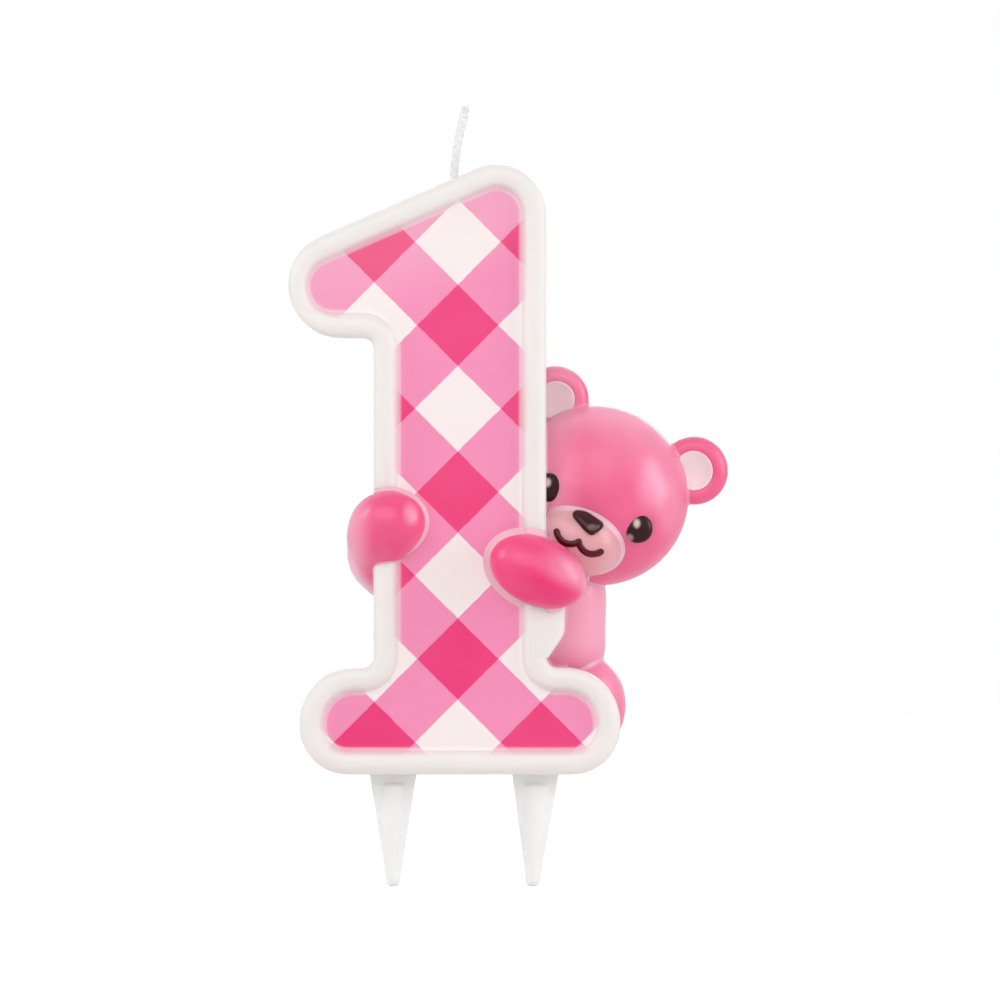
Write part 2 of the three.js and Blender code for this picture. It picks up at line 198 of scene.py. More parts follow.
def corner_arcs(inset, steps):
    """Each corner's arc with the outline moved inwards by inset."""
    corners = numeral_corners()
    points = [np.array(at, float) for at, _, _ in corners]
    count = len(corners)
    along = [points[(i + 1) % count] - points[i] for i in range(count)]
    along = [edge / np.linalg.norm(edge) for edge in along]
    arcs = []
    for i, (_, radius, tightening) in enumerate(corners):
        before, after = along[i - 1], along[i]
        turn = math.atan2(before[0] * after[1] - before[1] * after[0], before @ after)
        side = math.copysign(1, turn)
        inward = [np.array([-edge[1], edge[0]]) for edge in (before, after)]
        towards = (inward[0] + inward[1]) / np.linalg.norm(inward[0] + inward[1])
        to_edges = radius - tightening * inset
        centre = points[i] + towards * side * to_edges / math.cos(turn / 2)
        start = math.atan2(-side * inward[0][1], -side * inward[0][0])
        angles = start + turn * np.linspace(0, 1, steps + 1)
        round_points = np.stack([np.cos(angles), np.sin(angles)], 1)
        arcs.append(centre + (to_edges - side * inset) * round_points)
    return arcs


def web_reach(z):
    """How far the wax web bulges from the stem's right side towards the bear's arm."""
    return WEB_REACH * smoothstep(z, *WEB_RISE) * (1 - smoothstep(z, *WEB_FALL))


def numeral_outline(inset, arc_steps=16, step=0.7):
    """The outline moved inwards by inset, as (x, z) points. Every inset gives as many points."""
    arcs, outer = corner_arcs(inset, arc_steps), corner_arcs(0, arc_steps)
    points = []
    for i, arc in enumerate(arcs):
        following = (i + 1) % len(arcs)
        length = np.linalg.norm(outer[following][0] - outer[i][-1])
        pieces = max(1, round(length / step))
        points.extend(arc)
        for share in np.arange(1, pieces) / pieces:
            points.append(arc[-1] + (arcs[following][0] - arc[-1]) * share)
    points = np.array(points)
    right = np.abs(points[:, 0] - (STEM_HALF - inset)) < 0.01
    share = 1 - smoothstep(inset, 0, RIM_WIDTH)
    points[:, 0] += right * share * web_reach(points[:, 1])
    return points


# The front of the numeral from its outer edge inwards, as (inset, depth below the crest)
RIM_PROFILE = (
    [(FRONT_ROUND * (1 - math.cos(a)), FRONT_ROUND * (1 - math.sin(a)))
     for a in np.linspace(0, math.pi / 2, 9)]
    + [(1.65, 0.02), (1.95, 0.06), (2.2, 0.14), (2.42, 0.26), (2.6, 0.42), (2.78, 0.62)]
    + [(2.95, 0.82), (3.12, 1.0), (3.3, 1.14), (3.5, 1.25), (FLOOR_INSET, RECESS_DEPTH)]
)
PROFILE_INSETS = np.array([inset for inset, _ in RIM_PROFILE])
PROFILE_DEPTHS = np.array([depth for _, depth in RIM_PROFILE])

# A flat grid over the numeral and a little more, for its signed distance
GRID_STEP = 0.25
GRID_X = np.arange(-26, 26, GRID_STEP)
GRID_Z = np.arange(-4, 84, GRID_STEP)


def outline_grid():
    """Signed distance to the outline on a flat grid, positive outside."""
    outline = numeral_outline(0, arc_steps=10, step=1.4)
    x, z = np.meshgrid(GRID_X, GRID_Z, indexing="ij")
    points = np.stack([x.ravel(), z.ravel()], 1)
    nearest = np.full(len(points), np.inf)
    inside = np.zeros(len(points), bool)
    for a, b in zip(outline, np.roll(outline, -1, 0)):
        nearest = np.minimum(nearest, distance_to_line(points, a, b))
        if a[1] != b[1]:
            between = (a[1] > points[:, 1]) != (b[1] > points[:, 1])
            crossing = a[0] + (points[:, 1] - a[1]) * (b[0] - a[0]) / (b[1] - a[1])
            inside ^= between & (points[:, 0] < crossing)
    return np.where(inside, -nearest, nearest).reshape(x.shape)


OUTLINE_DISTANCE = outline_grid()


def outline_distance(points):
    """The grid's value at (x, z), read between its nodes."""
    u = np.clip((points[:, 0] - GRID_X[0]) / GRID_STEP, 0, len(GRID_X) - 1.001)
    v = np.clip((points[:, 2] - GRID_Z[0]) / GRID_STEP, 0, len(GRID_Z) - 1.001)
    i, j = u.astype(int), v.astype(int)
    fu, fv = u - i, v - j
    grid = OUTLINE_DISTANCE
    low = grid[i, j] * (1 - fu) + grid[i + 1, j] * fu
    high = grid[i, j + 1] * (1 - fu) + grid[i + 1, j + 1] * fu
    return low * (1 - fv) + high * fv


def numeral(points):
    distance = outline_distance(points)
    front = -HALF_DEPTH + np.interp(-distance, PROFILE_INSETS, PROFILE_DEPTHS)
    slab = np.maximum(front - points[:, 1], points[:, 1] - HALF_DEPTH)
    return np.maximum(distance, slab)


# Mesh from a field ---------------------------------------------------------------------------

def surface_net(field, low, high, cell):
    """One vertex in each cell that the surface crosses, and one quad for each crossed edge."""
    axes = [np.arange(low[i], high[i] + cell, cell) for i in range(3)]
    grid = np.stack(np.meshgrid(*axes, indexing="ij"), -1)
    shape = grid.shape[:3]
    value = field(grid.reshape(-1, 3)).reshape(shape)
    value[value == 0] = 1e-9
    cells = tuple(n - 1 for n in shape)
    total = np.zeros(cells + (3,))
    count = np.zeros(cells)
    crossings = []
    for axis in range(3):
        lower = tuple(slice(0, -1) if i == axis else slice(None) for i in range(3))
        upper = tuple(slice(1, None) if i == axis else slice(None) for i in range(3))
        a, b = value[lower], value[upper]
        crossed = (a < 0) != (b < 0)
        t = np.where(crossed, a / np.where(crossed, a - b, 1), 0)
        at = grid[lower] + t[..., None] * cell * np.eye(3)[axis]
        u, v = (axis + 1) % 3, (axis + 2) % 3
        for du in (0, 1):
            for dv in (0, 1):
                window = [slice(None)] * 3
                window[u] = slice(du, cells[u] + du)
                window[v] = slice(dv, cells[v] + dv)
                window = tuple(window)
                total += at[window] * crossed[window][..., None]
                count += crossed[window]
        crossings.append((crossed, a < 0))
    active = count > 0
    number = np.full(cells, -1)
    number[active] = np.arange(active.sum())
    points = total[active] / count[active][:, None]
    faces = []
    for axis, (crossed, rising) in enumerate(crossings):
        u, v = (axis + 1) % 3, (axis + 2) % 3
        at = np.argwhere(crossed)
        at = at[(at[:, u] > 0) & (at[:, v] > 0) & (at[:, u] < cells[u]) & (at[:, v] < cells[v])]
        corners = []
        for du, dv in ((1, 1), (0, 1), (0, 0), (1, 0)):
            place = at.copy()
            place[:, u] -= du
            place[:, v] -= dv
            corners.append(number[tuple(place.T)])
        quads = np.stack(corners, 1)
        outward = rising[tuple(at.T)]
        quads[~outward] = quads[~outward][:, ::-1]
        faces.append(quads)
    return points, np.concatenate(faces)


def gradient(field, points, step=0.02):
    slopes = []
    for axis in range(3):
        offset = np.eye(3)[axis] * step
        slopes.append((field(points + offset) - field(points - offset)) / (2 * step))
    return np.stack(slopes, 1)


def settle(field, points, cell):
    """Moves points onto the surface, never further than half a cell at a time."""
    for _ in range(2):
        slope = gradient(field, points)
        steep = np.maximum((slope**2).sum(1), 0.05)
        move = -(field(points) / steep)[:, None] * slope
        length = np.linalg.norm(move, axis=1)
        points = points + move * np.minimum(1, cell / 2 / np.maximum(length, 1e-9))[:, None]
    return points


def relax(points, faces):
    """Evens the mesh out: each point moves halfway to the mean of its neighbours."""
    total = np.zeros_like(points)
    count = np.zeros(len(points))
    for k in range(4):
        a, b = faces[:, k], faces[:, (k + 1) % 4]
        np.add.at(total, a, points[b])
        np.add.at(count, a, 1)
        np.add.at(total, b, points[a])
        np.add.at(count, b, 1)
    return (points + total / np.maximum(count, 1)[:, None]) / 2


def largest_body(points, faces):
    """Leaves out specks: keeps the connected body with the most faces."""
    label = np.arange(len(points))
    while True:
        lowest = label[faces].min(1)
        fresh = label.copy()
        np.minimum.at(fresh, faces.ravel(), np.repeat(lowest, 4))
        fresh = fresh[fresh]
        if (fresh == label).all():
            break
        label = fresh
    labels, sizes = np.unique(label[faces[:, 0]], return_counts=True)
    kept = label == labels[sizes.argmax()]
    number = np.cumsum(kept) - 1
    return points[kept], number[faces[kept[faces[:, 0]]]]


def field_mesh(field, low, high, cell):
    points, faces = surface_net(field, np.array(low), np.array(high), cell)
    points, faces = largest_body(points, faces)
    for _ in range(2):
        points = settle(field, relax(points, faces), cell)
    return settle(field, points, cell), faces


# Blender objects -----------------------------------------------------------------------------

def piece(name, points, faces, material, attributes=None):
    """A smooth-shaded object from points in millimetres. It stands for the CAD node of its name."""
    mesh = bpy.data.meshes.new(name)
    mesh.from_pydata((np.asarray(points) * MM).tolist(), [], [list(map(int, f)) for f in faces])
    mesh.polygons.foreach_set("use_smooth", np.ones(len(mesh.polygons), bool))
    for key, values in (attributes or {}).items():
        layer = mesh.attributes.new(key, "FLOAT", "POINT")
        layer.data.foreach_set("value", np.asarray(values, dtype=np.float32))
    mesh.update()
    obj = bpy.data.objects.new(name, mesh)
    bpy.context.scene.collection.objects.link(obj)
    obj.data.materials.append(material)
    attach(obj, MAIN)
    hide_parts(name)


# Materials -----------------------------------------------------------------------------------

def srgb(r, g, b):
    """Linear colour from the 0 to 255 scale."""
    def linear(c):
        c /= 255
        return c / 12.92 if c <= 0.04045 else ((c + 0.055) / 1.055) ** 2.4
    return (linear(r), linear(g), linear(b), 1.0)


class Nodes:
    """A short way to write a node tree."""

    def __init__(self, tree):
        self.tree = tree

    def add(self, kind, inputs=None, **settings):
        node = self.tree.nodes.new(kind)
        for key, value in settings.items():
            setattr(node, key, value)
        for key, value in (inputs or {}).items():
            if isinstance(value, bpy.types.NodeSocket):
                self.tree.links.new(value, node.inputs[key])
            else:
                node.inputs[key].default_value = value
        return node

    def math(self, operation, a, b=0.0, clamp=False):
        node = self.add("ShaderNodeMath", {0: a, 1: b}, operation=operation, use_clamp=clamp)
        return node.outputs[0]

    def blend(self, factor, a, b):
        node = self.add("ShaderNodeMix", {0: factor, 6: a, 7: b}, data_type="RGBA")
        return node.outputs[2]

    def span(self, value, low, high, out_low=0.0, out_high=1.0, smooth=True):
        kind = "SMOOTHSTEP" if smooth else "LINEAR"
        inputs = {"Value": value, 1: low, 2: high, 3: out_low, 4: out_high}
        return self.add("ShaderNodeMapRange", inputs, interpolation_type=kind).outputs[0]

    def noise(self, scale, detail=2.0):
        inputs = {"Vector": self.place(), "Scale": scale, "Detail": detail}
        return self.add("ShaderNodeTexNoise", inputs).outputs["Fac"]

    def attribute(self, name):
        return self.add("ShaderNodeAttribute", attribute_name=name).outputs["Fac"]

    def place(self):
        return self.add("ShaderNodeTexCoord").outputs["Object"]

    def bump(self, height, distance, strength):
        inputs = {"Height": height, "Distance": distance, "Strength": strength}
        return self.add("ShaderNodeBump", inputs).outputs[0]


def new_material(name):
    material = bpy.data.materials.new(name)
    material.use_nodes = True
    nodes = Nodes(material.node_tree)
    return material, nodes, material.node_tree.nodes["Principled BSDF"]


def set_shader(nodes, shader, values):
    for key, value in values.items():
        if isinstance(value, bpy.types.NodeSocket):
            nodes.tree.links.new(value, shader.inputs[key])
        else:
            shader.inputs[key].default_value = value


# The gingham: a crossing's (x, z), the stripes' period along x, their share of it, and how soft and how
# wavy their edges are
GINGHAM_CENTRE = (-0.29, 58.9)
GINGHAM_PERIOD = 21.86
GINGHAM_SHARE = 0.487
GINGHAM_SOFT = 0.12
PRINT_WANDER = 0.25
# How strongly the colours bleed into the wax, how far the film's edge fades, and how white it fades
BLEED_SHARE = 0.22
FADE_SHARE = 0.6
FADE_WHITE = 0.8
WHITE_CELL = srgb(255, 241, 240)
LIGHT_PINK = srgb(251, 143, 186)
DARK_PINK = srgb(242, 42, 120)


def gingham(nodes):
    """Two sets of diagonal stripes: where both cross the print is dark, where one is, light pink.

    Gives the colour, and where it is dark.
    """
    split = nodes.add("ShaderNodeSeparateXYZ", {0: nodes.place()})
    x = nodes.math("SUBTRACT", split.outputs[0], GINGHAM_CENTRE[0] * MM)
    z = nodes.math("SUBTRACT", split.outputs[2], GINGHAM_CENTRE[1] * MM)
    wobble = nodes.noise(900.0)
    wobble = nodes.math("MULTIPLY", nodes.math("SUBTRACT", wobble, 0.5), PRINT_WANDER * MM)
    stripes = []
    for kind in ("ADD", "SUBTRACT"):
        along = nodes.math("ADD", nodes.math(kind, x, z), wobble)
        turns = nodes.math("DIVIDE", along, GINGHAM_PERIOD * MM)
        off = nodes.math("ABSOLUTE", nodes.math("SUBTRACT", turns, nodes.math("ROUND", turns)))
        off = nodes.math("MULTIPLY", off, GINGHAM_PERIOD)
        edge = GINGHAM_SHARE * GINGHAM_PERIOD / 2
        stripes.append(nodes.span(off, edge - GINGHAM_SOFT, edge + GINGHAM_SOFT, 1.0, 0.0))
    either = nodes.math("MAXIMUM", stripes[0], stripes[1])
    both = nodes.math("MULTIPLY", stripes[0], stripes[1])
    tint = nodes.blend(either, WHITE_CELL, LIGHT_PINK)
    return nodes.blend(both, tint, DARK_PINK), both


def white_wax():
    """Slightly translucent white wax. The print's colours bleed into the recess's wall."""
    material, nodes, shader = new_material("white wax")
    cloud = nodes.noise(90.0, 3.0)
    base = nodes.blend(cloud, srgb(237, 232, 229), srgb(242, 238, 235))
    bleed = nodes.math("MULTIPLY", nodes.attribute("bleed"), BLEED_SHARE)
    print_colour, _ = gingham(nodes)
    base = nodes.blend(bleed, base, print_colour)
    fine = nodes.noise(420.0, 4.0)
    drift = nodes.noise(130.0)
    height = nodes.math("ADD", nodes.math("MULTIPLY", fine, 0.25), drift)
    set_shader(nodes, shader, {
        "Base Color": base,
        "Roughness": nodes.span(cloud, 0.3, 0.7, 0.34, 0.48),
        "Subsurface Weight": 0.45,
        "Subsurface Radius": (1.0, 0.75, 0.65),
        "Subsurface Scale": 0.0016,
        "IOR": 1.44,
        "Normal": nodes.bump(height, 0.00016, 0.5),
    })
    return material


# The print is paler towards the top, where a sheen is painted in: the height, measured up from the
# slant, where it begins to get paler, where it stops, and how much paler it gets. The dark cells get less
# of it.
PAINTED_SHEEN_TOP = (62, 73, 0.16)
PAINTED_SHEEN_DARK = 0.45


def print_film():
    """The gingham print: thin ink under a slightly uneven clear gloss, with a painted sheen towards the
    top.
    """
    material, nodes, shader = new_material("gingham print")
    colour, dark = gingham(nodes)
    cloud = nodes.noise(60.0, 3.0)
    colour = nodes.blend(nodes.span(cloud, 0.35, 0.7, 0.0, 0.07), colour, srgb(250, 170, 208))
    split = nodes.add("ShaderNodeSeparateXYZ", {0: nodes.place()})
    sloping = nodes.math("MULTIPLY", split.outputs[0], math.tan(SLANT))
    height = nodes.math("SUBTRACT", split.outputs[2], sloping)
    low, high, share = PAINTED_SHEEN_TOP
    # Painted sheen: the print turns paler towards the top.
    painted_sheen = nodes.span(height, low * MM, high * MM, 0.0, share)
    painted_sheen = nodes.math("MULTIPLY", painted_sheen, nodes.span(dark, 0.0, 1.0, 1.0, PAINTED_SHEEN_DARK, False))
    colour = nodes.blend(painted_sheen, colour, WHITE_CELL)
    edge = nodes.math("MULTIPLY", nodes.attribute("edge"), FADE_SHARE)
    colour = nodes.blend(edge, colour, nodes.blend(FADE_WHITE, colour, WHITE_CELL))
    ripple = nodes.noise(180.0)
    set_shader(nodes, shader, {
        "Base Color": colour,
        "Roughness": nodes.span(cloud, 0.3, 0.7, 0.3, 0.42),
        "Subsurface Weight": 0.1,
        "Subsurface Radius": (1.0, 0.5, 0.6),
        "Subsurface Scale": 0.0008,
        "Coat Weight": 0.15,
        "Coat Roughness": 0.2,
        "Normal": nodes.bump(ripple, 0.0002, 0.35),
    })
    return material


def bear_wax(name, deep, pale, halo):
    """Dipped wax, paler by its tint, which in places is painted light or a painted highlight, and by its
    halo, where the dip thins out against a neighbour and reflected light is painted in.
    """
    material, nodes, shader = new_material(name)
    cloud = nodes.noise(110.0)
    # Tint: the wax's paleness, in places painted light and painted highlights.
    tint = nodes.math("ADD", nodes.attribute("tint"), nodes.span(cloud, 0.2, 0.8, -0.08, 0.08))
    base = nodes.blend(nodes.math("ADD", tint, 0.0, clamp=True), deep, pale)
    # Halo: paler where the dip thins in a fillet, with reflected light painted in there.
    base = nodes.blend(nodes.attribute("halo"), base, halo)
    fine = nodes.noise(520.0, 3.0)
    drift = nodes.noise(150.0)
    height = nodes.math("ADD", nodes.math("MULTIPLY", fine, 0.2), drift)
    set_shader(nodes, shader, {
        "Base Color": base,
        "Roughness": nodes.span(cloud, 0.3, 0.7, 0.36, 0.46),
        "Subsurface Weight": 0.35,
        "Subsurface Radius": (1.0, 0.35, 0.45),
        "Subsurface Scale": 0.0014,
        "Coat Weight": 0.35,
        "Coat Roughness": 0.2,
        "Sheen Weight": 0.3,
        "Sheen Roughness": 0.4,
        "Sheen Tint": srgb(255, 205, 220),
        "IOR": 1.45,
        "Normal": nodes.bump(height, 0.00014, 0.45),
    })
    return material


def dark_paint(name, deep, light):
    """Glossy paint, paler where the mesh's glint attribute paints a highlight."""
    material, nodes, shader = new_material(name)
    cloud = nodes.noise(600.0)
    base = nodes.blend(cloud, deep, light)
    base = nodes.blend(nodes.attribute("glint"), base, srgb(238, 214, 202))
    set_shader(nodes, shader, {
        "Base Color": base,
        "Roughness": nodes.span(cloud, 0.3, 0.7, 0.16, 0.26),
        "Specular IOR Level": 0.25,
        "Normal": nodes.bump(cloud, 0.00003, 0.4),
    })
    return material


def cotton():
    material, nodes, shader = new_material("wick cotton")
    cloud = nodes.noise(1500.0)
    base = nodes.blend(cloud, srgb(238, 237, 235), srgb(246, 245, 243))
    set_shader(nodes, shader, {
        "Base Color": base,
        "Roughness": 0.75,
        "Specular IOR Level": 0.2,
        "Sheen Weight": 0.15,
        "Normal": nodes.bump(nodes.noise(3000.0), 0.00005, 0.5),
    })
    return material


def pick_plastic():
    material, nodes, shader = new_material("pick plastic")
    cloud = nodes.noise(120.0)
    base = nodes.blend(cloud, srgb(240, 240, 239), srgb(248, 248, 246))
    set_shader(nodes, shader, {
        "Base Color": base,
        "Roughness": nodes.span(cloud, 0.0, 1.0, 0.4, 0.52, False),
        "Subsurface Weight": 0.35,
        "Subsurface Radius": (1.0, 1.0, 0.95),
        "Subsurface Scale": 0.0012,
    })
    return material


WHITE_WAX = white_wax()
PRINT = print_film()
# The halo's colour: paler wax where the dip thins in a fillet, with reflected light painted in there.
HALO = srgb(251, 192, 207)
PINK_WAX = bear_wax("pink wax", srgb(240, 84, 136), srgb(253, 168, 200), HALO)
PAW_WAX = bear_wax("deep pink wax", srgb(240, 16, 116), srgb(252, 188, 212), HALO)
BODY_WAX = bear_wax("light pink wax", srgb(250, 110, 164), srgb(253, 176, 202), HALO)
PALE_WAX = bear_wax("pale pink wax", srgb(222, 142, 152), srgb(255, 222, 225), HALO)
EYE_PAINT = dark_paint("eye paint", srgb(38, 6, 6), srgb(54, 14, 10))
NOSE_PAINT = dark_paint("nose paint", srgb(48, 6, 12), srgb(58, 14, 20))
MOUTH_PAINT = dark_paint("mouth paint", srgb(74, 2, 18), srgb(96, 8, 28))
COTTON = cotton()
PLASTIC = pick_plastic()


# Numeral -------------------------------------------------------------------------------------

def loft(rings):
    """A closed skin through rings of points, from the back to the front, with flat ends."""
    size = len(rings[0])
    points = np.concatenate(rings)
    faces = []
    for r in range(len(rings) - 1):
        for i in range(size):
            j = (i + 1) % size
            faces.append((r * size + i, r * size + j, (r + 1) * size + j, (r + 1) * size + i))
    last = (len(rings) - 1) * size
    faces.append(tuple(range(size))[::-1])
    faces.append(tuple(range(last, last + size)))
    return points, faces


def ring(inset, y):
    flat = numeral_outline(inset)
    return np.stack([flat[:, 0], np.full(len(flat), y), flat[:, 1]], 1)


BACK_ROUND = 0.8
# How much of its sinking the back has at each inset, from its middle outwards
BACK_PROFILE = ((5.2, 1.0), (3.6, 0.7), (2.0, 0.15))
FLOOR_END = 5.0
BLEED_START = RIM_WIDTH - 0.35
BLEED_END = RIM_WIDTH + 0.5


def build_numeral():
    """A loft of the outline, from the middle of the back round to the recess's floor."""
    stations = [(inset, HALF_DEPTH - share * BACK_SINK) for inset, share in BACK_PROFILE]
    for a in np.linspace(0, math.pi / 2, 7):
        stations.append((BACK_ROUND * (1 - math.sin(a)), HALF_DEPTH - BACK_ROUND * (1 - math.cos(a))))
    side_back, side_front = HALF_DEPTH - BACK_ROUND, -HALF_DEPTH + FRONT_ROUND
    for share in (0.25, 0.5, 0.75):
        stations.append((0, side_back + share * (side_front - side_back)))
    first_front = len(stations)
    stations.extend((inset, -HALF_DEPTH + depth) for inset, depth in RIM_PROFILE)
    stations.append((FLOOR_END, -HALF_DEPTH + RECESS_DEPTH))
    points, faces = loft([ring(inset, y) for inset, y in stations])
    insets = np.array([inset for inset, _ in stations])
    bleed = smoothstep(insets, BLEED_START, BLEED_END) * (np.arange(len(stations)) >= first_front)
    per_ring = len(points) // len(stations)
    piece("numeral_body", points, faces, WHITE_WAX, {"bleed": np.repeat(bleed, per_ring)})


# The film's back and then its front, as (inset, depth below the recess's surface)
FILM_PROFILE = (
    [(5.2, 0.1), (FLOOR_INSET, 0.1), (3.3, 0.1)]
    + [(3.05, 0.06), (3.15, 0.0), (3.25, -0.03), (3.4, -0.06)]
    + [(FLOOR_INSET, -0.1), (4.2, -0.12), (5.2, -0.12)]
)
FILM_FADE = (3.3, 3.75)


def build_film():
    """The print's film, which thins to nothing a little way up the recess's wall."""
    insets = np.array([inset for inset, _ in FILM_PROFILE])
    sunk = np.array([depth for _, depth in FILM_PROFILE])
    depths = np.interp(insets, PROFILE_INSETS, PROFILE_DEPTHS) + sunk
    points, faces = loft([ring(inset, depth - HALF_DEPTH) for inset, depth in zip(insets, depths)])
    edge = np.repeat(1 - smoothstep(insets, *FILM_FADE), len(points) // len(insets))
    piece("print_film", points, faces, PRINT, {"edge": edge})


build_numeral()
build_film()


# Bear ----------------------------------------------------------------------------------------

def skull(points):
    return ellipsoid(points, HEAD_CENTRE, HEAD_RADII, HEAD_LEAN)


def in_head(points):
    return leaned(points, HEAD_CENTRE, HEAD_LEAN)


def from_head(local):
    """A point of the head's own frame, in the row's frame."""
    cos, sin = math.cos(HEAD_LEAN), math.sin(HEAD_LEAN)
    x = HEAD_CENTRE[0] + local[0] * cos + local[2] * sin
    z = HEAD_CENTRE[2] - local[0] * sin + local[2] * cos
    return (x, HEAD_CENTRE[1] + local[1], z)


# The muzzle, in the head's frame
MUZZLE_CENTRE = (0.35, -7.0, -6.25)
MUZZLE_RADII = (5.75, 5.0, 4.65)


def muzzle(points):
    return ellipsoid(in_head(points), MUZZLE_CENTRE, MUZZLE_RADII)


# How deep a piece goes on inside its neighbours, and how far below their surface its fillet ends
SUNK = 0.5
SEAM_DEPTH = 0.03


def fitted(shape, neighbours, reach, cuff=None):
    """The shape, filleted onto its neighbours and cut off a little way inside them."""
    def field(points):
        own, others = shape(points), neighbours(points)
        joined = smooth_min(own, others + SEAM_DEPTH, reach)
        kept = np.maximum(joined, own - reach)
        if cuff is not None:
            kept = smooth_min(kept, cuff(points), CUFF_BLEND)
        return np.maximum(kept, -others - SUNK)
    return field


# A cuff's thickness beside the paw and at its own edge
CUFF_RISE = 0.55
CUFF_EDGE = 0.16
CUFF_BLEND = 0.25
# Where it thins out in depth, how much sooner on the numeral's side, and where that side begins
CUFF_FADE = (-3.65, -2.7)
CUFF_SIDE_LEAD = 0.85
CUFF_SIDE = (-0.5, 0.1)
# From where to where, across the paw, its left width becomes its right width
CUFF_ACROSS = (-0.5, 3.5)
CUFF_ROUNDING = 0.2


def paw_cuff(centre, radii, lean, left_width, right_width):
    """A thin flat band of wax on the numeral's front, all round a paw's outline.

    It thins to nothing a little further back than the recess's floor, and sooner on the numeral's side.
    """
    def field(points):
        level = points * (1, 0, 1) + (0, centre[1], 0)
        outside = ellipsoid(level, centre, radii, lean)
        across = smoothstep(points[:, 0] - centre[0], *CUFF_ACROSS)
        width = left_width + (right_width - left_width) * across
        share = np.clip(outside / width, 0, 1)
        back = points[:, 1] + CUFF_SIDE_LEAD * smoothstep(outline_distance(points), *CUFF_SIDE)
        thinning = smoothstep(back, *CUFF_FADE)
        thickness = CUFF_EDGE + (CUFF_RISE - CUFF_EDGE) * (1 - share)**2 - thinning
        band = smooth_max(numeral(points) - thickness, outside - width, CUFF_ROUNDING)
        return np.maximum(band, back - CUFF_FADE[1])
    return field


# How far the fillet lies from the piece's own shape where its halo begins and is complete
HALO_FADE = (0.01, 0.1)


def build_fitted(name, shape, neighbours, material, tint, reach, cell, margin=1.6, halo=1.0,
                 cuff=None):
    """A piece of the bear, with fillets of that reach, meshed in cells of that size.

    Its halo is where the fillet is, with painted reflected light, and tint makes its wax paler, in places
    as painted light.
    """
    low, high = box(name)
    field = fitted(shape, neighbours, reach, cuff)
    points, faces = field_mesh(field, low - margin, high + margin, cell)
    near = smoothstep(shape(points), *HALO_FADE) * halo
    piece(name, points, faces, material, {"halo": near, "tint": tint(points)})


# Centre and radii of each rounded part
BELLY = ((12.9, 10.6, 17.2), (6.3, 6.0, 7.4))
CHEST = ((14.0, 9.6, 23.6), (5.2, 5.2, 5.4))
TAIL = ((12, 16, 13.2), (2.3, 2.1, 2.3))
LEGS = {"left": ((4.6, 10.4, 8.3), (6.1, 5.2, 6.6)), "right": ((15.7, 10.2, 8.9), (6.15, 5.2, 7.07))}


def torso(points):
    trunk = smooth_min(ellipsoid(points, *BELLY), ellipsoid(points, *CHEST), 3.0)
    return smooth_min(trunk, ellipsoid(points, *TAIL), 0.8)


# The arms' (x, y, z, radius) from the torso to the paw, and each paw's centre, radii and lean
ARM_LEFT = [
    (9, 10.8, 22.4, 3.5), (-1, 10.2, 23.2, 3.3), (-7.6, 8.2, 25, 3.3), (-10.4, 4, 27.2, 3.6),
    (-11, 0.5, 28.8, 3.8), (-11, -1.8, 30.6, 3.7),
]
ARM_RIGHT = [(13.4, 8.5, 25.2, 3.0), (14, 3.5, 25.8, 2.8), (13.2, -0.5, 26.2, 2.6), (11.6, -3.4, 26.6, 3.0)]
PAW_LEFT = ((-9.3, -5, 33.1), (4.75, 3.9, 4.1), 0.0)
PAW_RIGHT = ((10.2, -5.2, 26.65), (6.6, 4.2, 4.45), math.radians(23.5))
# How wide each paw's cuff is on its left and on its right
CUFF_WIDTHS_LEFT = (0.6, 0.6)
CUFF_WIDTHS_RIGHT = (0.95, 0.25)


def arm_left(points):
    return smooth_min(limb(points, ARM_LEFT), ellipsoid(points, *PAW_LEFT), 3.5)


def arm_right(points):
    return smooth_min(limb(points, ARM_RIGHT), ellipsoid(points, *PAW_RIGHT), 2.0)


# Each ear's place across and up, in the head's frame
EARS = {"left": (-10.35, 9.1), "right": (10.3, 8.3)}
EAR_Y = -0.5
EAR_RADII = (4.5, 2.1, 4.45)
DISH_RADII = (3.3, 1.5, 3.15)
DISH_RISE = -0.1
# The pale filling of the dish: how much of the dish it covers, and its place across the dish's wall
LINER_SHARE = 0.8
LINER_SLOPE = 2.6
LINER_LIFT = 0.02
LINER_HALF = 0.22
LINER_BACK = 1.9
INNER_EAR_TINT = 0.95
# How far from the numeral an ear is still paler, as painted light where the numeral shades it, and how far
# it keeps its own tint
EAR_BESIDE = (3.0, 6.0)


def ear_frame(points, word):
    x, z = EARS[word]
    return leaned(in_head(points), np.array([x, EAR_Y, z]), math.atan2(x, z))


def ear_shell(points, word):
    return ellipsoid(ear_frame(points, word), (0, 0, 0), EAR_RADII)


def ear_dish(points, word):
    return ellipsoid(ear_frame(points, word), (0, -EAR_RADII[1], DISH_RISE), DISH_RADII)


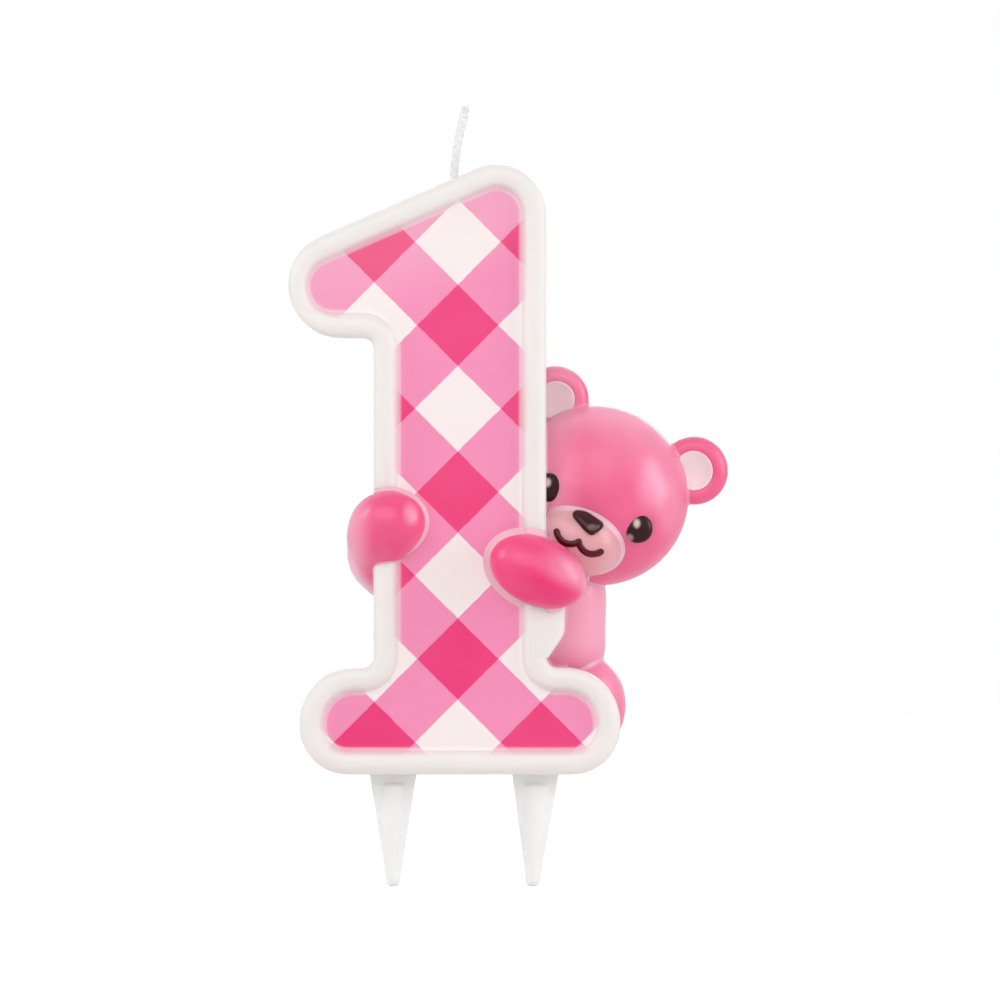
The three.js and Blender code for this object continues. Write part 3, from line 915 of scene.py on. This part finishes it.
def build_ear(word):
    def shape(points):
        return smooth_max(ear_shell(points, word), -ear_dish(points, word), 0.7)

    def liner(points):
        q = ear_frame(points, word)
        across = np.hypot(q[:, 0] / DISH_RADII[0], (q[:, 2] - DISH_RISE) / DISH_RADII[2])
        radial = (across - LINER_SHARE) * LINER_SLOPE
        layer = np.abs(ear_dish(points, word) + LINER_LIFT) - LINER_HALF
        within = smooth_max(layer, radial, 0.25)
        return np.maximum(within, q[:, 1] + EAR_RADII[1] - LINER_BACK)

    def ear_tint_and_light(points):
        return 0.1 + 0.5 * (1 - smoothstep(numeral(points), *EAR_BESIDE))

    build_fitted(f"bear_ear_{word}", shape, skull, PINK_WAX, ear_tint_and_light,
                 reach=0.6, cell=0.16, halo=0.4)
    name = f"bear_inner_ear_{word}"
    low, high = box(name)
    points, faces = field_mesh(liner, low - 1.5, high + 1.5, 0.12)
    piece(name, points, faces, PALE_WAX,
          {"halo": np.zeros(len(points)), "tint": np.full(len(points), INNER_EAR_TINT)})


# The eyes, in the head's frame: how far from its middle, how high, and how far both are moved right
EYE_PLACE = (6.45, -1.77)
EYE_SHIFT = 0.25
EYE_RADIUS = 1.9
EYE_BULGE = 1.0
EYE_SINK = 0.1
PAINT_DEPTH = 0.4
# Each eye's painted glints: place from the eye's middle, half width and half height, and strength
EYE_GLINTS = (((-0.22, 0.68), (0.62, 0.85), 0.8), ((-1.2, -1.2), (0.75, 0.7), 0.4))


def bright_patch(points, patch):
    """A soft round patch of the front, from its place and half sizes, for a painted highlight or painted
    light.
    """
    x, z, half_width, half_height = patch
    off = np.hypot((points[:, 0] - x) / half_width, (points[:, 2] - z) / half_height)
    return (1 - smoothstep(off, 0.3, 1.0)) * (points[:, 1] < HEAD_CENTRE[1])


def front_of(centre, radii, x, z):
    """How far forward an ellipsoid's surface lies at (x, z)."""
    across = ((x - centre[0]) / radii[0]) ** 2 + ((z - centre[2]) / radii[2]) ** 2
    return centre[1] - radii[1] * math.sqrt(max(0, 1 - across))


def build_eye(word, side):
    x, z = side * EYE_PLACE[0] + EYE_SHIFT, EYE_PLACE[1]
    centre = (x, front_of((0, 0, 0), HEAD_RADII, x, z) + EYE_SINK, z)

    def field(points):
        ball = ellipsoid(in_head(points), centre, (EYE_RADIUS, EYE_BULGE, EYE_RADIUS))
        behind = np.minimum(skull(points), numeral(points))
        return np.maximum(ball, -behind - PAINT_DEPTH)

    name = f"bear_eye_{word}"
    low, high = box(name)
    points, faces = field_mesh(field, low - 1.2, high + 1.2, 0.07)
    eye_x, _, eye_z = from_head(centre)
    glint = np.zeros(len(points))
    for (right, up), half_sizes, strength in EYE_GLINTS:
        glint += strength * bright_patch(points, (eye_x + right, eye_z + up, *half_sizes))
    piece(name, points, faces, EYE_PAINT, {"glint": glint})


# The nose's corners in the head's frame, clockwise from the left tip
NOSE_CORNERS = [(-2.05, -3.0), (-0.6, -2.4), (2.35, -2.95), (2.5, -3.7), (1.55, -5.25), (0.75, -5.2),
                (-2.0, -3.9)]
# The nose's painted highlight: x, z, half width and half height; then its strength
NOSE_SHINE = (17.3, 32.45, 0.9, 0.6)
NOSE_GLINT = 0.16
NOSE_THICKNESS = 0.75
NOSE_SINK = 0.3


def build_nose():
    corners = np.array(NOSE_CORNERS)

    def field(points):
        q = in_head(points)[:, [0, 2]]
        flat = np.full(len(points), -50.0)
        for a, b in zip(corners, np.roll(corners, -1, 0)):
            outwards = np.array([a[1] - b[1], b[0] - a[0]]) / np.linalg.norm(b - a)
            flat = smooth_max(flat, (q - a) @ outwards, 0.45)
        dome = smooth_max(flat, muzzle(points) - NOSE_THICKNESS, 0.9)
        return np.maximum(dome, -muzzle(points) - NOSE_SINK)

    low, high = box("bear_nose")
    points, faces = field_mesh(field, low - 2.4, high + 2.4, 0.08)
    piece("bear_nose", points, faces, NOSE_PAINT,
          {"glint": NOSE_GLINT * bright_patch(points, NOSE_SHINE)})


# The mouth's two scallops, in the head's frame
MOUTH_HALF = 3.2
MOUTH_X = 0.28
MOUTH_TOP = -6.6
MOUTH_DIP = 0.9
MOUTH_RADIUS = 0.43
MOUTH_FLATNESS = 1.3


def build_mouth():
    share = np.linspace(-1, 1, 33)
    path_x = MOUTH_X + MOUTH_HALF * share
    dip = np.abs(np.sin(math.pi * share)) ** 0.7
    path_z = MOUTH_TOP - MOUTH_DIP * dip
    path = list(zip(path_x, path_z))

    def field(points):
        q = in_head(points)[:, [0, 2]]
        flat = np.full(len(points), np.inf)
        for start, end in zip(path, path[1:]):
            flat = np.minimum(flat, distance_to_line(q, np.array(start), np.array(end)))
        lift = (muzzle(points) - 0.02) * MOUTH_FLATNESS
        return np.hypot(flat, lift) - MOUTH_RADIUS

    low, high = box("bear_mouth")
    points, faces = field_mesh(field, low - 1.2, high + 1.2, 0.09)
    piece("bear_mouth", points, faces, MOUTH_PAINT, {"glint": np.zeros(len(points))})


# Painted highlights, and a painted rim light down the head's right side: x, z, and the patch's half width
# and half height
HEAD_SHINE = (25.2, 37.6, 2.8, 4.4)
HEAD_RIM_LIGHT = (27.4, 35.2, 2.5, 5.2)
LEFT_PAW_SHINE = (-6.4, 34.3, 1.4, 2.1)
# Where a tint begins to change and where it has changed, in mm. Up is a height, beside a distance from
# the numeral, behind a depth, and along and across are the right paw's own directions.
# The head's paler top and its paler side beside the numeral are painted light.
HEAD_UP = (1, 11)
HEAD_BESIDE = (0.5, 5.5)
MUZZLE_BESIDE = (1, 5)
TORSO_UP = (11.5, 18)
LEG_UP = (6, 13)
LEFT_ARM_CORNER = (9.5, 15.5)
# The left arm is paler along its left edge and round its back left corner: painted reflected light. It is
# paler behind the numeral too.
LEFT_ARM_BEHIND = (2, 7)
LEFT_ARM_REFLECTION = (-14.4, -11)
RIGHT_ARM_BEHIND = (-1.5, 3.5)
# A painted highlight runs along the right paw's upper edge; the next three numbers place it.
RIGHT_PAW_ALONG = (-1.5, 3.5)
RIGHT_PAW_ACROSS = (0.6, 2.9)
RIGHT_PAW_HIGHLIGHT = 1.8
RIGHT_PAW_END = (3.5, 6.5)


def build_bear():
    def numeral_and_head(points):
        return np.minimum(numeral(points), skull(points))

    def behind_limbs(points):
        return np.minimum(numeral_and_head(points), torso(points))

    # Paler up its top and beside the numeral, as painted light, and paler in painted highlights
    def head_tint_and_light(points):
        height = in_head(points)[:, 2]
        # Painted highlight on the head, and painted rim light down its right side
        shine = bright_patch(points, HEAD_SHINE) + bright_patch(points, HEAD_RIM_LIGHT)
        beside = 1 - smoothstep(numeral(points), *HEAD_BESIDE)
        return 0.1 + 0.5 * smoothstep(height, *HEAD_UP) + 0.55 * beside + 0.35 * shine

    # Paler beside the numeral, as painted light
    def muzzle_tint_and_light(points):
        return 0.42 - 0.19 * smoothstep(numeral(points), *MUZZLE_BESIDE)

    def body_tint(points):
        return 0.2 + 0.65 * smoothstep(points[:, 2], *TORSO_UP)

    def leg_tint(points):
        return 0.1 + 0.32 * smoothstep(points[:, 2], *LEG_UP)

    def left_arm_tint_and_light(points):
        corner = smoothstep(points[:, 1] - points[:, 0], *LEFT_ARM_CORNER)
        behind = np.maximum(corner, smoothstep(points[:, 1], *LEFT_ARM_BEHIND))
        # Painted reflected light along the left edge
        outer = 1 - smoothstep(points[:, 0], *LEFT_ARM_REFLECTION)
        return 0.15 + 0.7 * behind + 0.45 * outer + 0.3 * bright_patch(points, LEFT_PAW_SHINE)

    def right_arm_tint_and_light(points):
        behind = smoothstep(points[:, 1], *RIGHT_ARM_BEHIND)
        q = leaned(points, PAW_RIGHT[0], PAW_RIGHT[2])
        across = np.abs(q[:, 2] - RIGHT_PAW_HIGHLIGHT)
        # Painted highlight along the paw's upper edge
        painted_highlight = smoothstep(q[:, 0], *RIGHT_PAW_ALONG) * (1 - smoothstep(across, *RIGHT_PAW_ACROSS))
        end = smoothstep(q[:, 0], *RIGHT_PAW_END)
        return 0.08 + 0.77 * behind + (1 - behind) * (0.44 * painted_highlight + 0.06 * end)

    build_fitted("bear_head", skull, numeral, PINK_WAX, head_tint_and_light, reach=0.6, cell=0.3)
    build_fitted("bear_muzzle", muzzle, numeral_and_head, PALE_WAX, muzzle_tint_and_light,
                 reach=0.7, cell=0.16, margin=3.5)
    build_fitted("bear_torso", torso, numeral_and_head, BODY_WAX, body_tint,
                 reach=0.6, cell=0.3, margin=2.5, halo=0.5)
    for word, leg in LEGS.items():
        build_fitted(f"bear_leg_{word}", lambda points: ellipsoid(points, *leg), behind_limbs,
                     BODY_WAX, leg_tint, reach=0.6, cell=0.22, halo=0.7)
    build_fitted("bear_arm_left", arm_left, behind_limbs, PAW_WAX, left_arm_tint_and_light,
                 reach=0.4, cell=0.17, margin=5.0, cuff=paw_cuff(*PAW_LEFT, *CUFF_WIDTHS_LEFT))
    build_fitted("bear_arm_right", arm_right, behind_limbs, PAW_WAX, right_arm_tint_and_light,
                 reach=0.4, cell=0.17, cuff=paw_cuff(*PAW_RIGHT, *CUFF_WIDTHS_RIGHT))
    for word, side in (("left", -1), ("right", 1)):
        build_ear(word)
        build_eye(word, side)
    build_nose()
    build_mouth()


build_bear()


# Wick ----------------------------------------------------------------------------------------

WICK_ROUTE = np.array([
    (0, 0, 5), (0, 0, 20), (-0.4, 0, 50), (-0.8, 0, 72), (-0.8, 0, 78.5), (-0.5, -0.1, 81.6),
    (0, -0.2, 84.3), (0.7, -0.3, 87.2),
])


def tube(path, radii, sides=8):
    """A closed tube along a path, as points and faces."""
    along = np.gradient(path, axis=0)
    along /= np.linalg.norm(along, axis=1)[:, None]
    side = np.cross(along, (0.0, 1.0, 0.1))
    side /= np.linalg.norm(side, axis=1)[:, None]
    up = np.cross(side, along)
    angle = np.linspace(0, 2 * math.pi, sides, endpoint=False)
    circle = side[:, None] * np.cos(angle)[None, :, None] + up[:, None] * np.sin(angle)[None, :, None]
    points = (path[:, None] + circle * np.asarray(radii)[:, None, None]).reshape(-1, 3)
    faces = []
    for r in range(len(path) - 1):
        for i in range(sides):
            j = (i + 1) % sides
            faces.append((r * sides + i, (r + 1) * sides + i, (r + 1) * sides + j, r * sides + j))
    faces.append(tuple(range(sides)))
    faces.append(tuple(range(len(points) - sides, len(points)))[::-1])
    return points, faces


def joined(parts):
    """Several meshes' points and faces as one."""
    points, faces, offset = [], [], 0
    for part_points, part_faces in parts:
        points.append(part_points)
        faces.extend(tuple(i + offset for i in face) for face in part_faces)
        offset += len(part_points)
    return np.concatenate(points), faces


STRANDS = 3
STRAND_POINTS = 700
STRAND_RADIUS = 0.36
BRAID_PITCH = 3.4
BRAID_SPREAD = 0.2
BRAID_FLATNESS = 0.6
# The frayed end: its length, how much further the strands spread there and how much thinner they get
FRAY_LENGTH = 0.7
FRAY_SPLAY = 0.9
FRAY_THINNING = 0.45
# Its loose fibres: how far their roots, their ends and their middles stray, and their two radii
FIBRES = 14
FIBRE_POINTS = 7
FIBRE_ROOT = 0.18
FIBRE_STRAY = 0.28
FIBRE_BOW = 0.1
FIBRE_RADII = (0.07, 0.04)


def build_wick():
    """Three strands in a flat braid, with a frayed end."""
    path, run = smooth_route(WICK_ROUTE, STRAND_POINTS)
    parts = []
    for k in range(STRANDS):
        phase = 2 * math.pi * (run / BRAID_PITCH + k / STRANDS)
        fray = smoothstep(run, run[-1] - FRAY_LENGTH, run[-1])
        splay = 1 + FRAY_SPLAY * fray
        across = BRAID_SPREAD * np.sin(phase) * splay
        through = BRAID_FLATNESS * BRAID_SPREAD * np.sin(2 * phase) * splay
        strand = path + np.stack([across, through, np.zeros(STRAND_POINTS)], 1)
        parts.append(tube(strand, STRAND_RADIUS * (1 - FRAY_THINNING * fray)))
    draw = np.random.default_rng(7)
    tip = path[-1]
    for _ in range(FIBRES):
        start = tip + draw.normal(0, FIBRE_ROOT, 3) * (1, 1, 0) - (0, 0, 0.5)
        reach = draw.normal(0, FIBRE_STRAY, 3) * (1, 1, 0.4) + (0.15, 0, 1.0)
        bow = draw.normal(0, FIBRE_BOW, 3)
        t = np.linspace(0, 1, FIBRE_POINTS)[:, None]
        fibre = start + reach * t + bow * np.sin(math.pi * t)
        parts.append(tube(fibre, np.linspace(*FIBRE_RADII, FIBRE_POINTS), 5))
    points, faces = joined(parts)
    piece("wick", points, faces, COTTON)


# Picks ---------------------------------------------------------------------------------------

PICK_RIGHT_X = 9.9
PICK_TIP = -14.7
PICK_INSET = 9.0
# Half widths of the blade at its tip, at the numeral's underside and at its top end
BLADE_HALVES = (0.8, 3.1, 2.5)
BLADE_THICKNESS = (0.4, 0.6)
CORE_RADII = (0.8, 1.75)
CORE_TOP = -1.3
# The blade's edges slope a little, which its distance allows for
EDGE_SLOPE = 0.97


def build_pick(name, lean):
    """A tapering blade with a round core along its middle, which ends below the numeral."""
    low, high = box(name)
    centre = np.array([(low[0] + high[0]) / 2 if lean == 0 else PICK_RIGHT_X, 0, 0])

    def field(points):
        q = leaned(points, centre, lean)
        x, y, z = q.T
        half = np.interp(z, [PICK_TIP, 0, PICK_INSET], BLADE_HALVES)
        edge = (np.abs(x) - half) * EDGE_SLOPE
        thickness = np.interp(z, [PICK_TIP, -5], BLADE_THICKNESS)
        blade = smooth_max(smooth_max(edge, np.abs(y) - thickness, 0.35), z - PICK_INSET, 0.3)
        blade = smooth_max(blade, PICK_TIP - z + 0.05, 0.5)
        radius = np.interp(z, [PICK_TIP, -1.6], CORE_RADII)
        core = smooth_max(np.hypot(x, y) - radius, z - CORE_TOP, 0.7)
        core = smooth_max(core, PICK_TIP - z, 0.9)
        return smooth_min(blade, core, 0.25)

    points, faces = field_mesh(field, low - 0.6, high + 0.6, 0.13)
    piece(name, points, faces, PLASTIC)


build_wick()
build_pick("pick_left", 0.0)
build_pick("pick_right", math.radians(1.5))


# Stage, lights and camera --------------------------------------------------------------------

FLOOR_HALF = 1.2
# How brightly the floor and the world glow for the candle, and for the camera
FLOOR_GLOW = (0.04, 0.62)
WORLD_GLOW = (0.32, 1.0)
GLOSSY_SHARE = 0.8


def build_stage():
    """A pale floor at the picks' tips. The camera sees it brighter than it lights the candle."""
    floor_z = CAD_BOX[0][2]
    mesh = bpy.data.meshes.new("floor")
    corners = [(x * FLOOR_HALF, y * FLOOR_HALF, floor_z) for x, y in ((-1, -1), (1, -1), (1, 1), (-1, 1))]
    mesh.from_pydata(corners, [], [(0, 1, 2, 3)])
    floor = bpy.data.objects.new("floor", mesh)
    bpy.context.scene.collection.objects.link(floor)
    material, nodes, shader = new_material("pale floor")
    seen = nodes.add("ShaderNodeLightPath").outputs["Is Camera Ray"]
    set_shader(nodes, shader, {
        "Base Color": (0.9, 0.9, 0.9, 1),
        "Roughness": 0.6,
        "Specular IOR Level": 0.1,
        "Emission Color": (1, 1, 1, 1),
        "Emission Strength": nodes.span(seen, 0, 1, *FLOOR_GLOW, False),
    })
    mesh.materials.append(material)


LIGHT_TARGET = (0.004, 0, 0.036)


def area_light(name, place, size, power):
    """A rectangular light that points at the candle. Metres and watts."""
    data = bpy.data.lights.new(name, "AREA")
    data.shape = "RECTANGLE"
    data.size, data.size_y = size
    data.energy = power
    light = bpy.data.objects.new(name, data)
    light.location = place
    light.rotation_euler = (Vector(LIGHT_TARGET) - Vector(place)).to_track_quat("-Z", "Y").to_euler()
    bpy.context.scene.collection.objects.link(light)


def build_lights():
    area_light("key right", (0.46, -0.12, 0.18), (0.2, 0.32), 0.85)
    area_light("key left", (-0.42, -0.1, 0.26), (0.1, 0.2), 0.5)
    area_light("front", (-0.14, -0.6, 0.42), (0.75, 0.55), 2.35)
    area_light("top", (0.02, 0.22, 0.46), (0.5, 0.3), 0.35)
    area_light("back", (0.12, 0.66, 0.25), (0.4, 0.25), 1.0)
    world = bpy.data.worlds.new("studio")
    bpy.context.scene.world = world
    world.use_nodes = True
    nodes = Nodes(world.node_tree)
    background = world.node_tree.nodes["Background"]
    path = nodes.add("ShaderNodeLightPath").outputs
    mirrored = nodes.math("MULTIPLY", path["Is Glossy Ray"], GLOSSY_SHARE)
    seen = nodes.math("MAXIMUM", path["Is Camera Ray"], mirrored)
    background.inputs["Color"].default_value = (1, 1, 1, 1)
    glow = nodes.span(seen, 0, 1, *WORLD_GLOW, False)
    world.node_tree.links.new(glow, background.inputs["Strength"])


# What the camera sees at the numeral's front: its width and its middle, as (x, z)
VIEW_WIDTH = 130.9
VIEW_MIDDLE = (5.24, 36.0)


def build_camera():
    """Level with the middle of the candle, and far enough back to look nearly straight on."""
    data = bpy.data.cameras.new("camera")
    data.lens, data.sensor_width = 400, 36
    camera = bpy.data.objects.new("camera", data)
    back = VIEW_WIDTH * data.lens / data.sensor_width
    camera.location = (VIEW_MIDDLE[0] * MM, -(HALF_DEPTH + back) * MM, VIEW_MIDDLE[1] * MM)
    camera.rotation_euler = (math.pi / 2, 0, 0)
    bpy.context.scene.collection.objects.link(camera)
    bpy.context.scene.camera = camera


build_stage()
build_lights()
build_camera()
bpy.context.scene.view_settings.view_transform = "Standard"
